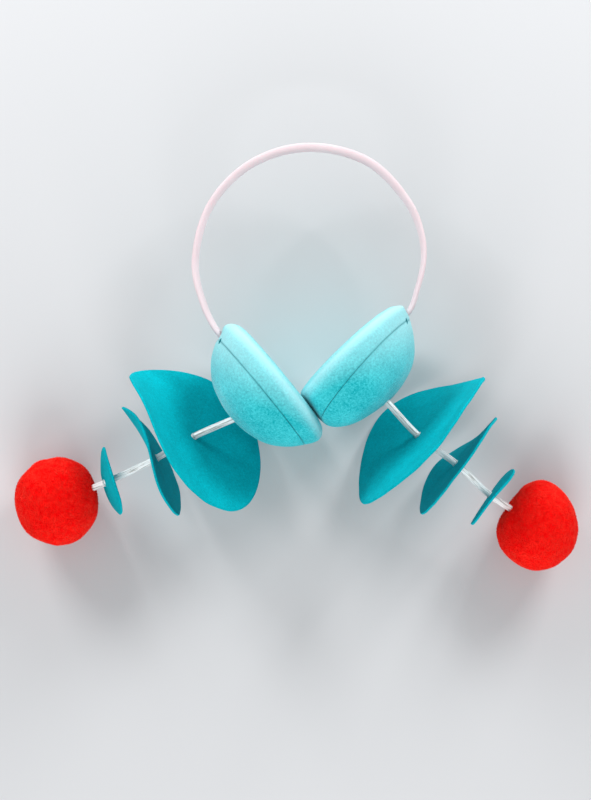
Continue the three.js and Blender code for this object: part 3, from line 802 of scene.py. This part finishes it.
# The fibres' roots stand rootShare of the pile inside the radius. formClear and fibreClear keep the form and
# the fibres off the table.
pompom = {
    "radius": 24.8 * mm, "broad": 0.97, "long": 1.06, "unevenness": 0.9 * mm, "unevenSize": 13 * mm,
    "pile": 1.1 * mm, "fibreThickness": 0.45 * mm, "fibresPerSquareMetre": 4.6e6, "lean": 0.4,
    "tuftSize": 4 * mm, "seed": 7, "splits": 5, "rootShare": 0.8, "formClear": 0.6 * mm,
    "fibreClear": 0.1 * mm,
}
# How fibres grow: how squarely the surface has to face outwards, how much more the tufts lean together than
# each fibre alone, and the range of their lengths
fibre = {"facing": 0.4, "together": 3.0, "shortest": 0.7, "longest": 1.1}


# Fibres stand all over a surface, each a thin spike that leans with its neighbours. Only the side that faces
# away from the middle grows them, so the hole for the rod stays clear.
def fibreTree():
    tree = bpy.data.node_groups.new("fibresOnSurface", "GeometryNodeTree")
    for name, kind in (
        ("Geometry", "NodeSocketGeometry"), ("Middle", "NodeSocketVector"), ("Density", "NodeSocketFloat"),
        ("Length", "NodeSocketFloat"), ("Thickness", "NodeSocketFloat"), ("Lean", "NodeSocketFloat"),
        ("Tuft Size", "NodeSocketFloat"), ("Seed", "NodeSocketInt"), ("Look", "NodeSocketMaterial"),
    ):
        tree.interface.new_socket(name, in_out="INPUT", socket_type=kind)
    tree.interface.new_socket("Geometry", in_out="OUTPUT", socket_type="NodeSocketGeometry")
    given = addNode(tree, "NodeGroupInput").outputs
    place = addNode(tree, "GeometryNodeInputPosition").outputs[0]
    normal = addNode(tree, "GeometryNodeInputNormal").outputs[0]
    out = addNode(tree, "ShaderNodeVectorMath", {"operation": "SUBTRACT"}, {0: place, 1: given["Middle"]})
    out = addNode(tree, "ShaderNodeVectorMath", {"operation": "NORMALIZE"}, {0: out.outputs[0]})
    facing = addNode(tree, "ShaderNodeVectorMath", {"operation": "DOT_PRODUCT"}, {
        0: out.outputs[0], 1: normal})
    outside = addNode(tree, "FunctionNodeCompare", {"operation": "GREATER_THAN"}, {
        0: facing.outputs["Value"], 1: fibre["facing"]})
    roots = addNode(tree, "GeometryNodeDistributePointsOnFaces", {}, {
        "Mesh": given["Geometry"], "Selection": outside.outputs[0], "Density": given["Density"],
        "Seed": given["Seed"]})
    tuft = addNode(tree, "ShaderNodeMath", {"operation": "DIVIDE"}, {0: 1.0, 1: given["Tuft Size"]})
    drift = addNode(tree, "ShaderNodeTexNoise", {}, {
        "Vector": place, "Scale": tuft.outputs[0], "Detail": 1.0})
    drift = addNode(tree, "ShaderNodeVectorMath", {"operation": "SUBTRACT"}, {
        0: drift.outputs["Color"], 1: (0.5, 0.5, 0.5)})
    stray = addNode(tree, "FunctionNodeRandomValue", {"data_type": "FLOAT_VECTOR"}, {
        0: (-0.5, -0.5, -0.5), 1: (0.5, 0.5, 0.5), "Seed": given["Seed"]})
    both = addNode(tree, "ShaderNodeVectorMath", {"operation": "MULTIPLY_ADD"}, {
        0: drift.outputs[0], 1: (fibre["together"],) * 3, 2: stray.outputs[0]})
    leaning = addNode(tree, "ShaderNodeVectorMath", {"operation": "SCALE"}, {
        0: both.outputs[0], "Scale": given["Lean"]})
    heading = addNode(tree, "ShaderNodeVectorMath", {"operation": "ADD"}, {
        0: roots.outputs["Normal"], 1: leaning.outputs[0]})
    turn = addNode(tree, "FunctionNodeAlignRotationToVector", {"axis": "Z"}, {"Vector": heading.outputs[0]})
    radius = addNode(tree, "ShaderNodeMath", {"operation": "MULTIPLY"}, {0: given["Thickness"], 1: 0.5})
    spike = addNode(tree, "GeometryNodeMeshCone", {}, {
        "Vertices": 3, "Side Segments": 1, "Radius Top": 0.0, "Radius Bottom": radius.outputs[0],
        "Depth": given["Length"]})
    tall = addNode(tree, "FunctionNodeRandomValue", {"data_type": "FLOAT"}, {
        2: fibre["shortest"], 3: fibre["longest"], "Seed": given["Seed"]})
    fibres = addNode(tree, "GeometryNodeInstanceOnPoints", {}, {
        "Points": roots.outputs["Points"], "Instance": spike.outputs["Mesh"], "Rotation": turn.outputs[0],
        "Scale": tall.outputs[1]})
    whole = addNode(tree, "GeometryNodeJoinGeometry")
    tree.links.new(given["Geometry"], whole.inputs[0])
    tree.links.new(fibres.outputs[0], whole.inputs[0])
    real = addNode(tree, "GeometryNodeRealizeInstances", {}, {"Geometry": whole.outputs[0]})
    dressed = addNode(tree, "GeometryNodeSetMaterial", {}, {
        "Geometry": real.outputs[0], "Material": given["Look"]})
    addNode(tree, "NodeGroupOutput", {}, {"Geometry": dressed.outputs[0]})
    return tree


fibresOnSurface = fibreTree()


def growFibres(piece, values):
    grow = piece.modifiers.new("fibres", "NODES")
    grow.node_group = fibresOnSurface
    for item in fibresOnSurface.interface.items_tree:
        if item.in_out == "INPUT" and item.name in values:
            grow[item.identifier] = values[item.name]
    bake(piece)


def pompomPiece(name, side):
    middle = np.array(side["route"][-1])
    out, faces = newBall(pompom["splits"], 1)
    rodSide = -np.array(flatBearing(side["rodHeading"]))
    lump = 0.02 * np.sin(3.1 * out[:, 0] + side["sign"])
    lump += 0.025 * np.cos(2.7 * out[:, 1] + 1.3 * side["sign"])
    dip = side["pompomDip"] * np.maximum(0, out @ rodSide) ** 5
    uneven = softField(out * pompom["radius"], pompom["unevenSize"], 11 + side["sign"]) * pompom["unevenness"]
    reach = pompom["radius"] * (1 + lump - dip) + uneven - pompom["pile"] * pompom["rootShare"]
    points = middle + out * reach[:, None] * (pompom["broad"], pompom["long"], 1)
    points[:, 2] = np.maximum(points[:, 2], pompom["formClear"])
    piece = newPiece(f"pompom_{name}_pile", points, faces)
    cutWith(piece, side["rodHole"])
    growFibres(piece, {
        "Middle": middle.tolist(), "Density": pompom["fibresPerSquareMetre"], "Length": pompom["pile"],
        "Thickness": pompom["fibreThickness"], "Lean": pompom["lean"], "Tuft Size": pompom["tuftSize"],
        "Seed": pompom["seed"], "Look": redPile})
    for vert in piece.data.vertices:
        vert.co.z = max(vert.co.z, pompom["fibreClear"])
    piece.data.polygons.foreach_set("use_smooth", [True] * len(piece.data.polygons))
    settle(piece, redPile, "pompom_pile", "pompom_" + name)
    print(f"pompom {name}: {len(piece.data.polygons)} faces")


for name, side in sides.items():
    pompomPiece(name, side)

# glue

# away is a share of the felt's thickness, and wobble one of the drop's radius
glue = {"radius": 2.35 * mm, "rise": 0.9 * mm, "away": 0.55, "wobble": 0.12, "wobbleSize": 1.6}

for name, disc in discs.items():
    route = sides[disc["side"]]["route"]
    place = route.index(disc["point"])
    along = (route[place + 1] - route[place - 1]).normalized()
    for end, way in (("inner", -1), ("outer", 1)):
        out, faces = newBall(3, 1)
        lean = out @ np.array(along)
        flattened = out - np.outer(lean, np.array(along)) * (1 - glue["rise"] / glue["radius"])
        middle = disc["point"] + along * way * felt["thickness"] * glue["away"]
        wobble = 1 + glue["wobble"] * softField(out, glue["wobbleSize"], disc["seed"] * 2 + way)
        points = np.array(middle) + flattened * (glue["radius"] * wobble)[:, None]
        bead = newPiece(f"glue_{name}_{end}", points, faces)
        smooth(bead, 80)
        settle(bead, meltGlue, "clear_plastic")
print("pompoms and glue are made")

for name in ("anchor_left", "anchor_right"):
    plug = frame["nodes"][name]
    plug.data.materials.clear()
    plug.data.materials.append(cutFoam)

for cutter in cutters:
    bpy.data.objects.remove(cutter)
